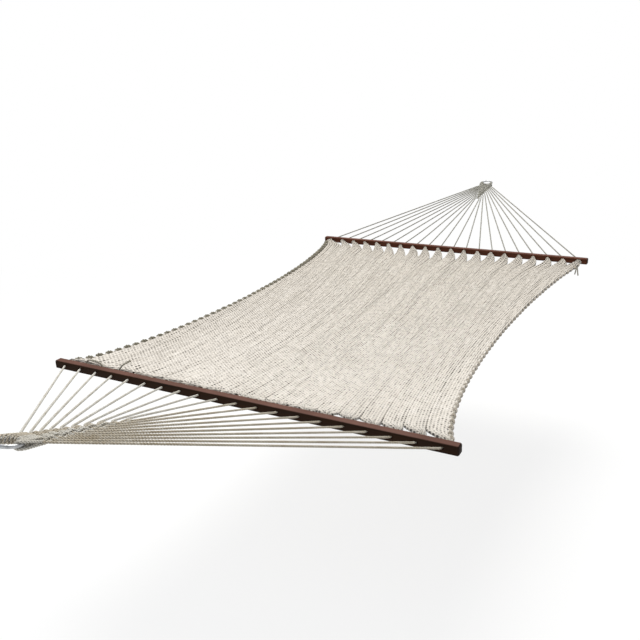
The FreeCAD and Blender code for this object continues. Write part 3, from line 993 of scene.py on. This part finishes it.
def stitch_relief(wale, course, opened):
    """Height of the knit over its middle surface: two slanting legs a wale, a pit between each two."""
    across = np.abs(wale % 1.0 - 0.5)
    slant = np.sin(math.pi * ((course + across) % 1.0))
    legs = 0.55 - 7.0 * (across - 0.22) ** 2
    between = np.clip((across - 0.3) / 0.2, 0, 1)
    pit_course = course + 0.5 * (np.floor(wale + 0.5) % 2)
    pit = between * np.clip(1 - np.abs(pit_course % 1.0 - 0.5) / 0.4, 0, 1)
    return legs + 0.9 * (slant - 0.6) - pit * (0.8 + 1.5 * opened)


def rim(index):
    """The indices round a grid's border, in the order that has its upper side on the left."""
    return np.concatenate((index[0, :-1], index[:-1, -1], index[-1, :0:-1], index[:0:-1, 0]))


def shell_faces(top, low):
    """Faces of the upper grid, of the coarser lower one and of the wall between, from their indices."""
    upper = np.stack((top[:-1, :-1], top[:-1, 1:], top[1:, 1:], top[1:, :-1]), axis=-1)
    lower = np.stack((low[:-1, :-1], low[1:, :-1], low[1:, 1:], low[:-1, 1:]), axis=-1)
    top_rim, low_rim = rim(top), rim(low)
    walls = np.stack((top_rim[::2], low_rim, np.roll(low_rim, -1), np.roll(top_rim, -2)[::2],
                      top_rim[1::2]), axis=-1)
    return upper.reshape(-1, 4).tolist() + lower.reshape(-1, 4).tolist() + walls.tolist()


def strip_shell(strip, lines, gaps):
    """Points, faces, map and openness of one strip as a closed shell, its underside coarser."""
    x, y, z, opened, gather, wale, course = strip_grid(strip, lines, gaps)
    relief = RELIEF * stitch_relief(wale, course, opened) * gather
    line = side_line(strip, lines)
    off_rope = np.abs(y - np.interp(x[:, 0], line[:, 0], line[:, 1])[:, None])
    over_rope = np.clip(1 - off_rope / 0.012, 0, 1)
    half_thick = NET_THICKNESS / 2 + 0.0015 * (1 - gather) + 0.0016 * over_rope
    over = np.stack((x, y, z + half_thick + relief), axis=-1)
    under = np.stack((x, y, z - half_thick - 0.6 * relief), axis=-1)[::2, ::2]
    top_index = np.arange(x.size).reshape(x.shape)
    low_index = np.arange(under[..., 0].size).reshape(under.shape[:2]) + x.size
    points = np.concatenate((over.reshape(-1, 3), under.reshape(-1, 3)))
    places = np.stack((wale, course), axis=-1)
    places = np.concatenate((places.reshape(-1, 2), places[::2, ::2].reshape(-1, 2)))
    openness = np.concatenate((opened.ravel(), opened[::2, ::2].ravel()))
    return points, shell_faces(top_index, low_index), places, openness


def net_mesh(name, shells):
    """Several strips as one mesh, with their knit map and their openness."""
    all_points, all_faces, all_places, all_opened = zip(*shells)
    counts = np.cumsum([0] + [len(points) for points in all_points])
    faces = [[corner + int(start) for corner in face]
             for strip_faces, start in zip(all_faces, counts) for face in strip_faces]
    mesh = bpy.data.meshes.new(name)
    mesh.from_pydata(np.concatenate(all_points).tolist(), [], faces)
    corners = np.concatenate([np.array(face) for face in faces])
    layer = mesh.uv_layers.new(name="knit")
    layer.data.foreach_set("uv", np.concatenate(all_places)[corners].ravel())
    attribute = mesh.attributes.new("opened", "FLOAT", "POINT")
    attribute.data.foreach_set("value", np.concatenate(all_opened).astype(np.float32))
    mesh.shade_smooth()
    mesh.set_sharp_from_angle(angle=math.radians(65))
    return mesh


def make_net(lines):
    """The bed in pieces of a few strips each, shared out from left to right."""
    gaps = gap_depths(11)
    for number in range(HOLE_COUNT // STRIPS_PER_PIECE):
        first = number * STRIPS_PER_PIECE
        shells = [strip_shell(first + i, lines, gaps) for i in range(STRIPS_PER_PIECE)]
        name = f"net_panel_{number + 1}"
        obj = new_piece(name, net_mesh(name, shells), KNIT)
        blend_bed(obj)
        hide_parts("net", "foot_loops", "head_loops")


# Floor, light and camera --------------------------------------------------------
def floor_material():
    """A pale floor that glows as painted light, washing out the shadows on it, and turns plain white
    with distance.
    """
    made, tree, shader = new_material("pale floor")
    shader.inputs["Base Color"].default_value = (0.90, 0.90, 0.89, 1)
    shader.inputs["Roughness"].default_value = 0.9
    shader.inputs["Specular IOR Level"].default_value = 0.1
    # Painted light: the floor is mostly self-lit near the hammock and wholly so far off, so shadows on
    # it fade.
    glow = put(tree, "Emission", None, {"Color": (1, 1, 1, 1), "Strength": 1.0})
    away = put(tree, "VectorMath", {"operation": "LENGTH"}, {0: object_place(tree)}).outputs["Value"]
    share = put(tree, "MapRange", {"interpolation_type": "SMOOTHSTEP"},
                {0: away, 1: 0.5, 2: 5.0, 3: 0.78, 4: 1.0}).outputs[0]
    mixed = put(tree, "MixShader", None, {0: share, 1: shader.outputs[0], 2: glow.outputs[0]})
    tree.links.new(mixed.outputs[0], tree.nodes["Material Output"].inputs["Surface"])
    return made


def make_floor():
    bpy.ops.object.select_all(action="DESELECT")
    bpy.ops.mesh.primitive_circle_add(vertices=96, radius=FLOOR_RADIUS, fill_type="NGON",
                                      location=(HOOK_SPACING / 2, 0, FLOOR_Z))
    floor = bpy.context.object
    floor.name = "floor"
    floor.data.materials.append(floor_material())


def area_light(name, place, target, size, power, colour):
    data = bpy.data.lights.new(name, "AREA")
    data.shape = "DISK"
    data.size = size
    data.energy = power
    data.color = colour
    lamp = bpy.data.objects.new(name, data)
    SCENE.collection.objects.link(lamp)
    lamp.location = place
    lamp.rotation_euler = (Vector(target) - Vector(place)).to_track_quat("-Z", "Y").to_euler()


def make_world():
    world = bpy.data.worlds.new("studio")
    SCENE.world = world
    world.use_nodes = True
    tree = world.node_tree
    tree.nodes.clear()
    ambient = put(tree, "Background", None, {"Color": (0.93, 0.96, 1.0, 1), "Strength": 0.62})
    backdrop = put(tree, "Background", None, {"Color": (1, 1, 1, 1), "Strength": 1.0})
    seen = put(tree, "LightPath").outputs["Is Camera Ray"]
    mixed = put(tree, "MixShader", None, {0: seen, 1: ambient.outputs[0], 2: backdrop.outputs[0]})
    out = put(tree, "OutputWorld")
    tree.links.new(mixed.outputs[0], out.inputs["Surface"])


def make_lights():
    middle = (HOOK_SPACING / 2, 0, BAR_Z)
    area_light("key", (3.4, 0.8, 4.4), middle, 3.2, 300.0, (1.0, 0.98, 0.945))
    area_light("fill", (-1.2, 3.4, 3.2), middle, 3.0, 60.0, (0.95, 0.97, 1.0))


CAMERA_PLACE = (-0.784, -1.1587, 0.6729)
CAMERA_YAW, CAMERA_PITCH, CAMERA_ROLL = 0.5029, 0.3390, -0.0367  # radians; pitch is downwards
CAMERA_LENS = 40.34  # millimetres, on a 36 millimetre sensor


def make_camera():
    level = Vector((math.cos(CAMERA_YAW), math.sin(CAMERA_YAW), 0))
    ahead = level * math.cos(CAMERA_PITCH) - Vector((0, 0, math.sin(CAMERA_PITCH)))
    right = Vector((math.sin(CAMERA_YAW), -math.cos(CAMERA_YAW), 0))
    up = right.cross(ahead)
    rolled_right = right * math.cos(CAMERA_ROLL) + up * math.sin(CAMERA_ROLL)
    rolled_up = up * math.cos(CAMERA_ROLL) - right * math.sin(CAMERA_ROLL)
    data = bpy.data.cameras.new("camera")
    data.lens = CAMERA_LENS
    data.sensor_width = 36.0
    data.clip_end = 200.0
    camera = bpy.data.objects.new("camera", data)
    SCENE.collection.objects.link(camera)
    turn = Matrix((rolled_right, rolled_up, -ahead)).transposed()
    camera.matrix_world = Matrix.Translation(CAMERA_PLACE) @ turn.to_4x4()
    SCENE.camera = camera


def main():
    bpy.ops.object.select_all(action="DESELECT")
    SCENE.view_settings.view_transform = "Standard"
    make_camera()
    make_world()
    make_lights()
    make_floor()
    for end in ("foot", "head"):
        dress_node(f"{end}_bar", WOOD)
        dress_node(f"{end}_ring", STEEL)
    make_clews()
    make_knots()
    lines = make_edge_ropes()
    make_wraps("left", 1, lines[0], 7, SHADED_BORDER)
    make_wraps("right", -1, lines[1], 8, PALE_BORDER)
    make_loose_ends()
    make_net(lines)


main()
